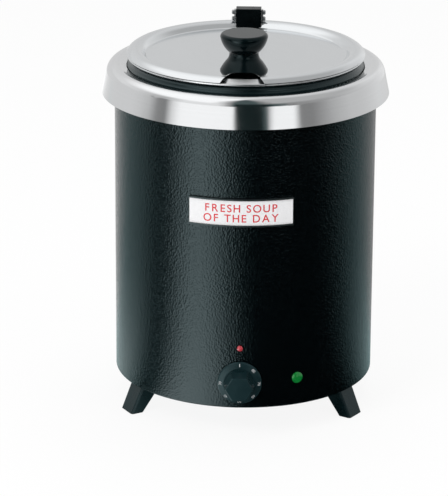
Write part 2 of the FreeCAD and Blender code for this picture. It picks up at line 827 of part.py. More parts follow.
def make_lid():
    sheet_body = turned_body("lid_sheet_body", lid_sheet_corners())
    holes = circle(
        new_sketch(sheet_body, "XY_Plane", LID_CREST), "0", "(-knob_forward)", "(knob_screw_radius + fit_gap)"
    )
    for side in ("-", ""):
        circle(holes, f"({side}block_screw_spread)", BLOCK_SCREW_Y, "(block_screw_radius + fit_gap)")
    pocket(sheet_body, holes)
    notch = leaning_notch("notch_body", "0")
    wall = cut("notch_wall", leaning_notch("notch_wall_body", "lid_sheet"), notch)
    envelope = turned_body("lid_envelope_body", lid_envelope_corners())
    lip = doc.addObject("Part::Common", "notch_lip")
    lip.Base = envelope
    lip.Tool = wall
    node(fuse("lid_panel", [cut("lid_notched", sheet_body, notch), lip]), "lid_panel")


def make_knob():
    screw_hole = "(knob_screw_radius + fit_gap)"
    base = turned_body("knob_base", [
        (screw_hole, "0"),
        ("knob_foot_radius", "0"),
        ("knob_foot_radius", "knob_foot_edge", "knob_flank_bulge"),
        ("knob_flank_radius", "knob_flank_height", "(-knob_neck_hollow)"),
        ("knob_neck_radius", "knob_neck_height"),
        ("knob_neck_radius", "knob_base_height"),
        (screw_hole, "knob_base_height"),
    ])
    knob = turned_body("lid_knob", [
        (screw_hole, "knob_base_height"),
        ("(knob_collar_radius - knob_collar_chamfer)", "knob_base_height"),
        ("knob_collar_radius", "(knob_base_height + knob_collar_chamfer)", "knob_bowl_bulge"),
        ("knob_top_radius", "(knob_height - knob_edge)", "knob_edge"),
        ("(knob_top_radius - knob_edge)", "knob_height"),
        ("0", "knob_height"),
        ("0", "(knob_screw_reach + fit_gap)"),
        (screw_hole, "(knob_screw_reach + fit_gap)"),
    ])
    screw = turned_body("knob_screw", [
        ("0", "(-lid_sheet - knob_screw_head_height)"),
        ("knob_screw_head", "(-lid_sheet - knob_screw_head_height)"),
        ("knob_screw_head", "(-lid_sheet)"),
        ("knob_screw_radius", "(-lid_sheet)"),
        ("knob_screw_radius", "knob_screw_reach"),
        ("0", "knob_screw_reach"),
    ])
    for body, label in ((base, "knob_base"), (knob, "lid_knob"), (screw, "knob_screw")):
        node(place(body, y="(-knob_forward)", z=LID_TOP), label)


# Hinge: a block and two arms ride on the lid's rear rim and turn on a pin in the collar's bracket.
BLOCK_TOP = f"({BLOCK_BASE} + block_height)"
BLOCK_SCREW_Y = f"({BLOCK_FRONT} + block_screw_back)"
CROSS_PIN_Y = f"({BLOCK_FRONT} + cross_pin_back)"
CROSS_PIN_HEIGHTS = [f"({LID_CREST} + cross_pin_rise {sign} cross_pin_pitch / 2)" for sign in "-+"]
BRACKET_BASE = f"({COLLAR_CREST} + fit_gap)"
BRACKET_MID = f"({HINGE_BACK} - bracket_lead_length + bracket_length / 2)"
EAR_OUTSIDE = f"({BLOCK_SIDE} - slip_gap)"


def rim_clearance():
    """The space that the lid's top face takes up, grown by the fit gap."""
    grown = "(lid_bead_radius + fit_gap)"
    return turned_body("rim_clearance_body", [
        ("0", LID_UNDER),
        (f"({LID_RADIUS} + fit_gap)", LID_UNDER),
        (f"({LID_RADIUS} + fit_gap)", BEAD_EDGE),
        (*bead_point("1", grown), grown),
        (BEAD_MID, f"({BEAD_CENTRE} + {grown})", grown),
        bead_point("-1", grown),
        (DISC_EDGE, f"({LID_TOP} + fit_gap)"),
        ("0", f"({LID_TOP} + fit_gap)"),
    ])


def cross_pin_holes(sketch):
    for height in CROSS_PIN_HEIGHTS:
        circle(sketch, CROSS_PIN_Y, height, "(cross_pin_radius + fit_gap)")
    return sketch


def make_hinge_block(clearance):
    body = new_body("hinge_block_body")
    mid_z = f"({BLOCK_BASE} + block_height / 2)"
    side = box_corners(f"({BLOCK_FRONT} + block_depth / 2)", mid_z, "block_depth", "block_height")
    block = pad(body, outline(new_sketch(body, "YZ_Plane"), side), "block_width", both_ways=True)
    doc.recompute()
    rounded = body.newObject("PartDesign::Fillet", "hinge_block_edges")
    top = number(BLOCK_TOP)
    names = [
        f"Edge{index}" for index, edge in enumerate(block.Shape.Edges, start=1)
        if edge.BoundBox.ZMin > top - SAME_PLACE and edge.BoundBox.YLength < SAME_PLACE
    ]
    rounded.Base = (block, names)
    rounded.setExpression("Radius", bound("block_edge"))
    pocket(body, cross_pin_holes(new_sketch(body, "YZ_Plane")), "(2 * block_width)", both_ways=True)
    holes = new_sketch(body, "XY_Plane", LID_UNDER)
    for sign in ("-", ""):
        circle(holes, f"({sign}block_screw_spread)", BLOCK_SCREW_Y, "(block_screw_radius + fit_gap)")
    depth = f"({LID_CREST} + block_screw_reach + fit_gap - {LID_UNDER})"
    pocket(body, holes, depth, along_normal=True)
    node(cut("hinge_block", body, clearance), "hinge_block")


def make_hinge_arms(clearance):
    arm_top = f"({BLOCK_TOP} - arm_drop)"
    front = f"({BLOCK_FRONT} + arm_inset)"
    crown_y = f"({HINGE_BACK} + arm_eye * sin(arm_slope))"
    crown_z = f"({HINGE_Z} + arm_eye * cos(arm_slope))"
    bend_y = f"({crown_y} - ({arm_top} - {crown_z}) / tan(arm_slope))"
    throat_y = f"({HINGE_BACK} - arm_eye)"
    corners = [
        (front, f"({LID_TOP} + fit_gap)"),
        (f"({LID_RADIUS} + fit_gap)", f"({LID_TOP} + fit_gap)"),
        (f"({LID_RADIUS} + fit_gap)", f"({LID_CREST} + fit_gap)"),
        (throat_y, HINGE_Z, "arm_eye"),
        (HINGE_BACK, f"({HINGE_Z} - arm_eye)", "arm_eye"),
        (f"({HINGE_BACK} + arm_eye)", HINGE_Z, "arm_eye"),
        (crown_y, crown_z),
        (bend_y, arm_top),
        (front, arm_top),
    ]
    for label, start in (("hinge_arm_left", f"(-{ARM_OUTSIDE})"), ("hinge_arm_right", ARM_INSIDE)):
        body = new_body(f"{label}_body")
        pad(body, outline(new_sketch(body, "YZ_Plane", start), corners), "arm_sheet")
        holes = cross_pin_holes(new_sketch(body, "YZ_Plane", start))
        circle(holes, HINGE_BACK, HINGE_Z, "(pivot_radius + running_gap)")
        pocket(body, holes, along_normal=True)
        node(cut(label, body, clearance), label)


def make_hinge_fasteners():
    pins = []
    for height in CROSS_PIN_HEIGHTS:
        seat = f"({ARM_OUTSIDE} + slip_gap)"
        end = f"({seat} + cross_head_height)"
        pin = turned_body("cross_pin", [
            ("0", f"(-{end})"),
            ("(cross_head_radius - cross_head_chamfer)", f"(-{end})"),
            ("cross_head_radius", f"(cross_head_chamfer - {end})"),
            ("cross_head_radius", f"(-{seat})"),
            ("cross_pin_radius", f"(-{seat})"),
            ("cross_pin_radius", seat),
            ("cross_head_radius", seat),
            ("cross_head_radius", f"({end} - cross_head_chamfer)"),
            ("(cross_head_radius - cross_head_chamfer)", end),
            ("0", end),
        ])
        pins.append(place(pin, y=CROSS_PIN_Y, z=height, rotation=TO_RIGHT))
    group("hinge_cross_pins", pins)
    screws = []
    head_top = f"({LID_CREST} - lid_sheet - block_screw_drop)"
    for side in ("-", ""):
        x = f"({side}block_screw_spread)"
        low = f"({head_top} - block_screw_head_height)"
        where = {"x": x, "y": BLOCK_SCREW_Y}
        head = cylinder("screw_head", "block_screw_head", "block_screw_head_height", z=low, **where)
        length = f"({LID_CREST} + block_screw_reach - {head_top})"
        shank = cylinder("screw_shank", "block_screw_radius", length, z=head_top, **where)
        screws.append(fuse("block_screw", [head, shank]))
    group("hinge_block_screws", screws)


def make_bracket():
    """A bent plate on the collar with two ears that carry the pivot pin between the arms."""
    body = new_body("hinge_bracket")
    plate = new_sketch(body, "XY_Plane", BRACKET_BASE)
    outline(plate, rounded_corners("0", BRACKET_MID, "bracket_width", "bracket_length", "bracket_corner"))
    pad(body, plate, "bracket_sheet")
    ear_top = f"({HINGE_Z} + bracket_eye)"
    ear = outline(new_sketch(body, "YZ_Plane"), [
        (f"({HINGE_BACK} - bracket_eye)", BRACKET_BASE),
        (f"({HINGE_BACK} + bracket_eye)", BRACKET_BASE),
        (f"({HINGE_BACK} + bracket_eye)", HINGE_Z, "bracket_eye"),
        (HINGE_BACK, ear_top, "bracket_eye"),
        (f"({HINGE_BACK} - bracket_eye)", HINGE_Z),
    ])
    pad(body, ear, f"(2 * {EAR_OUTSIDE})", both_ways=True)
    above = f"({BRACKET_BASE} + bracket_sheet)"
    gap_mid = f"(({above} + {ear_top} + bracket_eye) / 2)"
    gap_tall = f"({ear_top} + bracket_eye - {above})"
    between = new_sketch(body, "YZ_Plane")
    outline(between, box_corners(HINGE_BACK, gap_mid, "(4 * bracket_eye)", gap_tall))
    pocket(body, between, f"(2 * ({EAR_OUTSIDE} - bracket_sheet))", both_ways=True)
    eye = circle(new_sketch(body, "YZ_Plane"), HINGE_BACK, HINGE_Z, "(pivot_radius + running_gap)")
    pocket(body, eye, "(2 * bracket_width)", both_ways=True)
    holes = new_sketch(body, "XY_Plane", BRACKET_BASE)
    for side in ("-", ""):
        circle(holes, f"({side}bracket_screw_spread)", BRACKET_MID, "(bracket_screw_radius + fit_gap)")
    pocket(body, holes, "bracket_sheet", along_normal=True)
    node(body, "hinge_bracket")
    seat = f"({ARM_OUTSIDE} + fit_gap)"
    end = f"({seat} + pivot_head_height)"
    pin = turned_body("pivot_pin", [
        ("0", f"(-{end})"),
        ("pivot_head_radius", f"(-{end})"),
        ("pivot_head_radius", f"(-{seat})"),
        ("pivot_radius", f"(-{seat})"),
        ("pivot_radius", seat),
        ("pivot_head_radius", seat),
        ("pivot_head_radius", end),
        ("0", end),
    ])
    node(place(pin, y=HINGE_BACK, z=HINGE_Z, rotation=TO_RIGHT), "pivot_pin")
    screws = []
    nut_z = f"({COLLAR_CREST} - collar_sheet - bracket_nut_drop - bracket_nut_height)"
    for side in ("-", ""):
        x = f"({side}bracket_screw_spread)"
        head = cylinder(
            "bracket_screw_head", "bracket_screw_head", "bracket_screw_head_height", x, BRACKET_MID, above
        )
        low = f"({BRACKET_BASE} - bracket_screw_reach)"
        shank = cylinder(
            "bracket_screw_shank", "bracket_screw_radius", f"({above} - {low})", x, BRACKET_MID, low
        )
        screws.append(fuse("bracket_screw", [head, shank]))
        bore = "(bracket_screw_radius + fit_gap)"
        where = {"x": x, "y": BRACKET_MID, "z": nut_z}
        screws.append(ring_nut("bracket_nut", "bracket_nut_radius", bore, "bracket_nut_height", **where))
    group("bracket_screws", screws)


# Dial: a skirted knob with a faceted grip on the thermostat's shaft; heights run outwards from the axis.
def make_dial():
    body = turned_body("dial_knob", [
        ("dial_recess_radius", DIAL_BACK),
        ("dial_radius", DIAL_BACK),
        ("dial_radius", f"({DIAL_BACK} + dial_rim)"),
        ("(dial_radius - dial_bevel)", f"({DIAL_BACK} + dial_rim + dial_bevel)"),
        ("grip_radius", GRIP_START),
        ("0", GRIP_START),
        ("0", f"({DIAL_BACK} + dial_recess_depth)"),
        ("dial_recess_radius", f"({DIAL_BACK} + dial_recess_depth)"),
    ])
    face = new_sketch(body, "XY_Plane", f"({DIAL_BACK} + dial_recess_depth)")
    outline(face, polygon_corners("grip_radius", "grip_sides"))
    grip = pad(body, face, "grip_length", taper="(-grip_taper)")
    doc.recompute()
    flanks = [
        f"Edge{index}" for index, edge in enumerate(grip.Shape.Edges, start=1)
        if edge.BoundBox.ZLength > number("grip_length") / 2
    ]
    rounded = body.newObject("PartDesign::Fillet", "grip_flanks")
    rounded.Base = (grip, flanks)
    rounded.setExpression("Radius", bound("grip_round"))
    doc.recompute()
    end = number(f"({DIAL_BACK} + dial_recess_depth + grip_length)")
    rim = [
        f"Edge{index}" for index, edge in enumerate(rounded.Shape.Edges, start=1)
        if edge.BoundBox.ZMin > end - SAME_PLACE
    ]
    softened = body.newObject("PartDesign::Fillet", "grip_face_edge")
    softened.Base = (rounded, rim)
    softened.setExpression("Radius", bound("grip_edge"))
    bore = circle(new_sketch(body, "XY_Plane", DIAL_BACK), "0", "0", "(shaft_radius + fit_gap)")
    pocket(body, bore, "(shaft_reach + fit_gap)", along_normal=True)
    node(place(body, z="dial_height", rotation=TO_FRONT), "dial_knob")
    shaft = new_body("thermostat_shaft")
    start = f"({THERMOSTAT_FACE} - fit_gap)"
    rod = circle(new_sketch(shaft, "XY_Plane", start), "0", "0", "shaft_radius")
    length = f"({DIAL_BACK} + shaft_reach - {start})"
    pad(shaft, rod, length)
    flat = new_sketch(shaft, "XY_Plane", f"({DIAL_BACK} + dial_recess_depth)")
    flat_mid = "(2 * shaft_radius - shaft_flat)"
    outline(flat, box_corners("0", flat_mid, "(4 * shaft_radius)", "(2 * shaft_radius)"))
    pocket(shaft, flat, "shaft_reach", along_normal=True)
    node(place(shaft, z="dial_height", rotation=TO_FRONT), "thermostat_shaft")


def make_thermostat():
    body = new_body("thermostat_body")
    back = f"({THERMOSTAT_FACE} - thermostat_deep)"
    case = new_sketch(body, "XY_Plane", back)
    outline(case, rounded_corners("0", "0", "thermostat_width", "thermostat_tall", "shaft_radius"))
    pad(body, case, "thermostat_deep")
    shoulder = circle(new_sketch(body, "XY_Plane", THERMOSTAT_FACE), "0", "0", "bushing_shoulder")
    pad(body, shoulder, f"({wall_inside('bushing_shoulder')} - {THERMOSTAT_FACE})")
    bushing = circle(new_sketch(body, "XY_Plane", THERMOSTAT_FACE), "0", "0", "bushing_radius")
    pad(body, bushing, "(thermostat_setback + shell_sheet + bushing_proud)")
    bore = circle(new_sketch(body, "XY_Plane", THERMOSTAT_FACE), "0", "0", "(shaft_radius + running_gap)")
    pocket(body, bore, along_normal=True)
    seat = f"({THERMOSTAT_FACE} - 2 * fit_gap)"
    pocket(body, circle(new_sketch(body, "XY_Plane", seat), "0", "0", "(shaft_radius + fit_gap)"),
           "(2 * fit_gap)", along_normal=True)
    node(place(body, z="dial_height", rotation=TO_FRONT), "thermostat_body")
    where = {"y": f"(-{SHELL_RADIUS} - fit_gap)", "z": "dial_height", "rotation": TO_FRONT}
    nut = ring_nut("thermostat_nut", "nut_radius", "(bushing_radius + fit_gap)", "nut_height", **where)
    node(nut, "thermostat_nut")


# Lamps: a domed lens with a stem through the shell, and a holder behind it.
def make_lamp(name, radius, height, azimuth):
    front = f"({SHELL_RADIUS} + fit_gap)"
    dome = f"({radius} * lens_dome_share)"
    dome_bend = f"(({radius}^2 + {dome}^2) / (2 * {dome}))"
    stem = f"({radius} * lens_stem_share)"
    holder = f"({stem} + lamp_body_wall)"
    stem_end = f"({SHELL_BORE} - lens_stem_reach)"
    lens = turned_body(f"{name}_lens", [
        ("0", stem_end),
        (stem, stem_end),
        (stem, front),
        (radius, front),
        (radius, f"({front} + lens_flange)", dome_bend),
        ("0", f"({front} + lens_flange + {dome})"),
    ])
    mouth = wall_inside(f"({holder} + lamp_body_wall)")
    back = f"({mouth} - lamp_body_length)"
    clear = f"({stem} + fit_gap)"
    body = turned_body(f"{name}_body", [
        ("0", back),
        (holder, back),
        (holder, f"({mouth} - lamp_body_wall)"),
        (f"({holder} + lamp_body_wall)", f"({mouth} - lamp_body_wall)"),
        (f"({holder} + lamp_body_wall)", mouth),
        (clear, mouth),
        (clear, f"({stem_end} - fit_gap)"),
        ("0", f"({stem_end} - fit_gap)"),
    ])
    for piece, label in ((lens, f"{name}_lens"), (body, f"{name}_body")):
        node(place(piece, z=height, rotation=turned(azimuth)), label)


# Label: a curved channel on the shell's front that a card slides into.
def make_label():
    back = f"({SHELL_RADIUS} + fit_gap)"
    face = f"({back} + holder_sheet)"
    slot = f"({face} + card_sheet + 2 * fit_gap)"
    outside = f"({slot} + holder_sheet)"
    high = "(label_low + label_tall)"
    low_rail = "(label_low + holder_rail)"
    high_rail = f"({high} - holder_rail)"
    holder = turned_body("label_holder", [
        (back, "label_low"),
        (outside, "label_low"),
        (outside, "(label_low + holder_lip)"),
        (slot, "(label_low + holder_lip)"),
        (slot, low_rail),
        (face, low_rail),
        (face, high_rail),
        (slot, high_rail),
        (slot, f"({high} - holder_lip)"),
        (outside, f"({high} - holder_lip)"),
        (outside, high),
        (back, high),
    ], "label_angle")
    card_in, card_out = f"({face} + fit_gap)", f"({face} + fit_gap + card_sheet)"
    card_low, card_high = low_rail, f"({high_rail} - fit_gap)"
    corners = [(card_in, card_low), (card_out, card_low), (card_out, card_high), (card_in, card_high)]
    card = turned_body("label_card", corners, "card_angle")
    to_front = FreeCAD.Rotation(FreeCAD.Vector(0, 0, 1), -90)
    for body, label in ((holder, "label_holder"), (card, "label_card")):
        node(place(body, rotation=to_front), label)


# Heater under the water pan: plate, tubular element, clamp bar and shield, all on one welded stud.
def make_heater():
    stud_hole = "(stud_radius + fit_gap)"
    plate_low = f"({PAN_UNDER} - heater_plate_thick)"
    node(turned_body("heater_plate", [
        (stud_hole, plate_low),
        ("heater_plate_radius", plate_low),
        ("heater_plate_radius", PAN_UNDER),
        (stud_hole, PAN_UNDER),
    ]), "heater_plate")
    ring = doc.addObject("Part::Torus", "element_ring_tube")
    ring.setExpression("Radius1", bound("element_ring_radius"))
    ring.setExpression("Radius2", bound("element_radius"))
    ring.setExpression("Angle3", bound("element_sweep"))
    pieces = [place(ring, z=ELEMENT_Z)]
    for angle in ("0", "element_sweep"):
        x, y = on_ring("element_ring_radius", angle)
        elbow = doc.addObject("Part::Sphere", "element_elbow")
        elbow.setExpression("Radius", bound("element_radius"))
        pieces.append(place(elbow, x, y, ELEMENT_Z))
        low = f"({ELEMENT_Z} - element_leg)"
        pieces.append(cylinder("element_leg_tube", "element_radius", "element_leg", x, y, low))
    node(fuse("heating_element", pieces), "heating_element")
    clamp = new_body("heater_clamp")
    bar = new_sketch(clamp, "XY_Plane", f"({CLAMP_TOP} - clamp_thick)")
    outline(bar, rounded_corners("0", "0", "clamp_width", "clamp_length", "clamp_corner"))
    pad(clamp, bar, "clamp_thick")
    pocket(clamp, circle(new_sketch(clamp, "XY_Plane", CLAMP_TOP), "0", "0", stud_hole))
    node(clamp, "heater_clamp")
    stud = cylinder("heater_stud", "stud_radius", "stud_length", z=f"({PAN_UNDER} - stud_length)")
    node(stud, "heater_stud")
    shield_low = f"({SHIELD_TOP} - shield_sheet)"
    shield_wall = "(shield_radius - shield_sheet)"
    node(turned_body("heat_shield", [
        (stud_hole, shield_low),
        ("shield_radius", shield_low),
        ("shield_radius", f"({SHIELD_TOP} + shield_rim)"),
        (shield_wall, f"({SHIELD_TOP} + shield_rim)"),
        (shield_wall, SHIELD_TOP),
        (stud_hole, SHIELD_TOP),
    ]), "heat_shield")
    under_clamp = f"({CLAMP_TOP} - clamp_thick - stud_nut_height)"
    under_shield = f"({shield_low} - stud_nut_height)"
    nuts = [
        ring_nut("stud_nut", "stud_nut_radius", stud_hole, "stud_nut_height", z=height)
        for height in (under_clamp, under_shield)
    ]
    group("heater_nuts", nuts)


def make_controls_inside():
    cutout = new_body("safety_cutout")
    low = f"({PAN_UNDER} - cutout_tall)"
    can = circle(new_sketch(cutout, "XY_Plane", low), CUTOUT_RING, "0", "cutout_radius")
    pad(cutout, can, "cutout_tall")
    tab = new_sketch(cutout, "XY_Plane", f"({PAN_UNDER} - cutout_tab_sheet)")
    ears = rounded_corners(CUTOUT_RING, "0", "cutout_radius", "cutout_tab_length", "cutout_tab_corner")
    outline(tab, ears)
    pad(cutout, tab, "cutout_tab_sheet")
    node(cutout, "safety_cutout")
    bulb_z = f"({PAN_UNDER} - bulb_radius - fit_gap)"
    where = {"x": "(-bulb_length / 2)", "y": f"(-{BULB_FORWARD})", "z": bulb_z, "rotation": TO_RIGHT}
    node(cylinder("sensor_bulb", "bulb_radius", "bulb_length", **where), "sensor_bulb")
    block = new_body("terminal_block")
    foot = new_sketch(block, "XY_Plane", BASE_TOP)
    middle = "(terminal_back + terminal_deep / 2)"
    outline(foot, rounded_corners("0", middle, "terminal_width", "terminal_deep", "terminal_corner"))
    pad(block, foot, "terminal_tall")
    holes = new_sketch(block, "XY_Plane", f"({BASE_TOP} + terminal_tall)")
    poles = round(number("terminal_poles"))
    for pole in range(poles):
        circle(holes, f"(({pole} - {(poles - 1) / 2}) * terminal_pitch)", middle, "terminal_hole")
    pocket(block, holes, "terminal_hole_depth")
    node(block, "terminal_block")


def make_capillary():
    """The thin tube from the sensor bulb down to the thermostat: straight runs joined by equal bends."""
    bulb_z = f"({PAN_UNDER} - bulb_radius - fit_gap)"
    side = "(bulb_length / 2 + tube_run)"
    top = "(dial_height + thermostat_tall / 2 + fit_gap)"
    entry_x = "(thermostat_width / 4)"
    entry_y = f"(-{THERMOSTAT_FACE} + thermostat_deep / 2)"
    route = [
        ("(bulb_length / 2 + fit_gap)", f"(-{BULB_FORWARD})", bulb_z),
        (side, f"(-{BULB_FORWARD})", bulb_z),
        (side, entry_y, bulb_z),
        (side, entry_y, f"({top} + 2 * tube_run)"),
        (entry_x, entry_y, f"({top} + 2 * tube_run)"),
        (entry_x, entry_y, top),
    ]
    points = [FreeCAD.Vector(*[number(text) for text in stop]) for stop in route]
    bend = number("tube_bend")
    edges = []
    start = points[0]
    for before, corner, after in zip(points, points[1:], points[2:]):
        back = (before - corner).normalize()
        onward = (after - corner).normalize()
        half = back.getAngle(onward) / 2
        middle = corner + (back + onward).normalize() * (bend / math.sin(half) - bend)
        leave, join = corner + back * (bend / math.tan(half)), corner + onward * (bend / math.tan(half))
        edges.append(Part.LineSegment(start, leave).toShape())
        edges.append(Part.Arc(leave, middle, join).toShape())
        start = join
    edges.append(Part.LineSegment(start, points[-1]).toShape())
    path = Part.Wire(edges)
    ring = Part.Wire(Part.makeCircle(number("tube_radius"), points[0], points[1] - points[0]))
    tube = doc.addObject("Part::Feature", "capillary_tube")
    tube.Shape = path.makePipeShell([ring], True, False)
    tube.Placement = FreeCAD.Placement()
    expected = math.pi * number("tube_radius") ** 2 * path.Length
    if abs(tube.Shape.Volume - expected) > expected * PIPE_SHARE:
        raise RuntimeError("the capillary tube folds over itself")
    node(tube, "capillary_tube")


# Cable gland at the back: only the gland, with its cap and inner nut.
def make_gland():
    outside = f"({SHELL_RADIUS} + fit_gap)"
    inside = f"({SHELL_BORE} - gland_inside)"
    cap_start = f"({outside} + gland_flange_thick)"
    cap_end = f"({cap_start} + gland_cap_length)"
    body = turned_body("cable_gland", [
        ("gland_bore", inside),
        ("gland_neck", inside),
        ("gland_neck", f"({cap_start} + gland_flange_thick)"),
        ("gland_bore", f"({cap_start} + gland_flange_thick)"),
    ])
    flange = new_sketch(body, "XY_Plane", outside)
    outline(flange, polygon_corners("gland_flange", str(NUT_SIDES)))
    circle(flange, "0", "0", "(gland_neck - gland_root)")
    pad(body, flange, "gland_flange_thick")
    cap_bore = "(gland_neck + fit_gap)"
    step = f"({cap_start} + gland_flange_thick + fit_gap)"
    cap = turned_body("gland_cap", [
        (cap_bore, cap_start),
        ("gland_cap_radius", cap_start),
        ("gland_cap_radius", f"({cap_end} - gland_cap_round)", "gland_cap_round"),
        ("(gland_cap_radius - gland_cap_round)", cap_end),
        ("gland_bore", cap_end),
        ("gland_bore", step),
        (cap_bore, step),
    ])
    for piece, label in ((body, "cable_gland"), (cap, "gland_cap")):
        node(place(piece, z="gland_height", rotation=turned(180)), label)
    where = {"y": f"({wall_inside('gland_nut_radius')} - gland_nut_thick)", "z": "gland_height"}
    nut = ring_nut(
        "gland_nut", "gland_nut_radius", "(gland_neck + fit_gap)", "gland_nut_thick",
        rotation=turned(180), **where
    )
    node(nut, "gland_nut")


make_feet()
make_base_fasteners()
make_shell()
make_base_plate()
make_collar()
make_seal()
make_vessels()
make_lid()
make_knob()
rim_space = rim_clearance()
make_hinge_block(rim_space)
make_hinge_arms(rim_space)
make_hinge_fasteners()
make_bracket()
make_dial()
make_thermostat()
make_lamp("power_lamp", "power_lens_radius", "power_lamp_height", number("power_lamp_azimuth"))
make_lamp("heating_lamp", "heating_lens_radius", "heating_lamp_height", 0)
make_label()
make_heater()
make_controls_inside()
make_capillary()
make_gland()
doc.recompute()

failed = [item.Label for item in doc.Objects if {"Invalid", "Error"} & set(item.State)]
failed += [piece.Label for piece in nodes if piece.Shape.isNull() or not piece.Shape.isValid()]
if failed:
    raise RuntimeError(f"failed: {failed}")
os.makedirs("parts", exist_ok=True)
for piece in nodes:
    piece.Shape.exportStep(f"parts/{piece.Label}.step")
print(f"{len(nodes)} nodes written")
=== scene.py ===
import json
import math

import bmesh
import bpy
from mathutils import Matrix, Vector


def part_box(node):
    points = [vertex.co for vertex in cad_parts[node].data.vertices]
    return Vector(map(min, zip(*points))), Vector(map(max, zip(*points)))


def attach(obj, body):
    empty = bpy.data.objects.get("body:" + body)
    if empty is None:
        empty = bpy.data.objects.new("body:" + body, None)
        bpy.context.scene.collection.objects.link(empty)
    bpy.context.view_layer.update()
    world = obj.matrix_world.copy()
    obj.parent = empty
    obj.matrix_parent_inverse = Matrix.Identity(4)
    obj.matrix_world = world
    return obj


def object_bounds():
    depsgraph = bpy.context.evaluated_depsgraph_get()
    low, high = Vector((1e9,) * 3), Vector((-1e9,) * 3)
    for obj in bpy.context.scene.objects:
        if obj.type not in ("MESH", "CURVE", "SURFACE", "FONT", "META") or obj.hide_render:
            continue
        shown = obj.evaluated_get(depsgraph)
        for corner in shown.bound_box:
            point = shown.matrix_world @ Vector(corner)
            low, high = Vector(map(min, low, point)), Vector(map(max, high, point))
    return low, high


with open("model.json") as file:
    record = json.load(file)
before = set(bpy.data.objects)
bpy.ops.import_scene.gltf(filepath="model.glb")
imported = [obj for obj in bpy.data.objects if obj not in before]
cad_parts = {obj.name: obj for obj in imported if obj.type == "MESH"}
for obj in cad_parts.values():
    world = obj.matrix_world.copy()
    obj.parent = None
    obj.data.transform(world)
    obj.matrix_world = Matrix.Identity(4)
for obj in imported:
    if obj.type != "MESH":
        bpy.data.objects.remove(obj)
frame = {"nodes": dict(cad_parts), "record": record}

# Soup kettle: finishes, printed marks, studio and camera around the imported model, in metres.

CAD_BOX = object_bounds()
MM = 0.001

# Camera: a long lens a little to the right of the front, looking down. Angles in degrees.
IMAGE_WIDTH, IMAGE_HEIGHT = 448, 496
FOCAL_PIXELS = 2920.2
SENSOR_MM = 36
CAMERA_AZIMUTH = 1.5
CAMERA_DISTANCE = 3.3369
CAMERA_HEIGHT = 1.3142
CAMERA_PITCH = 18.77
CAMERA_YAW = -0.418
CAMERA_ROLL = 0.332
CAMERA_REACH = 50

# Floor and ambient light.
FLOOR_RADIUS = 9
FLOOR_SEGMENTS = 96
FLOOR_GREY = 0.92
FLOOR_ROUGHNESS = 0.9
FLOOR_GLOW = 0.9
AMBIENT = 0.52

# Lamps: place, width and power.
LAMPS = {
    "key": ((-1.5, -1.7, 2.2), 1.4, 36),
    "fill": ((1.8, -1.2, 1.6), 1.6, 8),
    "top": ((0.2, 0.6, 2.8), 1.8, 24),
}

# Reflection board: it stands all round the kettle, and only reflections see it. Each list gives
# its brightness by azimuth in degrees from the front, read in straight lines. Its dim parts have a
# cool tint, which fades out between the two azimuths of TINT_ENDS, towards the back.
BOARD_STEP = 1.5
SHADE_TINT = (0.52, 0.97, 1.0)
TINT_ENDS = (126, 138)
SHADOW = ((-180, 0.5), (-100, 0.5), (-40, 0.35), (0, 0.06), (120, 0.04), (180, 0.3))
NEAR_TABLE = (
    (-180, 1.6), (-157, 1.5), (-120, 0.9), (-97, 0.95), (-86, 0.85), (-76, 0.4), (-68, 0.0),
    (-61, 0.15), (-50, 1.6), (-40, 2.9), (-20, 2.4), (-12, 1.5), (-2, 0.06), (12, 0.0), (74, 0.0),
    (84, 0.1), (100, 0.48), (123, 0.65), (180, 0.9),
)
FAR_TABLE = (
    (-180, 1.3), (-157, 1.1), (-120, 0.44), (-97, 0.6), (-86, 0.32), (-76, 0.0), (-66, 0.0),
    (-61, 0.12), (-50, 1.7), (-40, 2.9), (-25, 1.9), (-17, 1.0), (-8, 0.06), (0, 0.0), (76, 0.0),
    (86, 0.04), (100, 0.3), (123, 0.48), (180, 0.7),
)
LOW_WALL = (
    (-180, 0.7), (-165, 0.7), (-140, 0.74), (-121, 0.72), (-97, 0.72), (-86, 0.64), (-76, 0.1),
    (-66, 0.0), (-61, 0.12), (-50, 1.7), (-40, 2.9), (-25, 1.9), (-17, 1.0), (-8, 0.06), (0, 0.0),
    (70, 0.0), (80, 0.4), (90, 0.6), (108, 0.66), (133, 0.78), (157, 0.88), (168, 0.72),
    (180, 0.7),
)
HORIZON = (
    (-180, 0.7), (-165, 0.7), (-140, 0.74), (-121, 0.72), (-97, 0.72), (-89, 0.69), (-79, 0.6),
    (-70, 0.28), (-63, 0.24), (-57, 0.8), (-50, 1.1), (-40, 1.12), (-9, 1.12), (-7.2, 0.9),
    (-5.6, 0.02), (14, 0.015), (18, 0.12), (21, 0.8), (24, 1.1), (39.5, 1.1), (45, 0.25),
    (55, 0.26), (73, 0.49), (90, 0.62), (108, 0.66), (133, 0.78), (157, 0.88), (168, 0.72),
    (180, 0.7),
)
HIGH_WALL = (
    (-180, 0.7), (-140, 0.8), (-121, 0.84), (-97, 0.75), (-68, 0.5), (-50, 0.9), (-20, 0.9),
    (-6.5, 0.02), (18, 0.02), (45, 0.3), (69, 0.4), (95, 0.55), (122, 0.7), (157, 0.85),
    (168, 0.72), (180, 0.7),
)
CEILING = (
    (-180, 0.8), (-150, 1.1), (-120, 1.2), (-30, 1.2), (-8, 0.1), (12, 0.1), (30, 0.5), (120, 0.5),
    (150, 0.7), (180, 0.8),
)
# Brightness at which the tint has faded to white, low down and high up.
TABLE_FADE, WALL_FADE = 1.6, 0.25
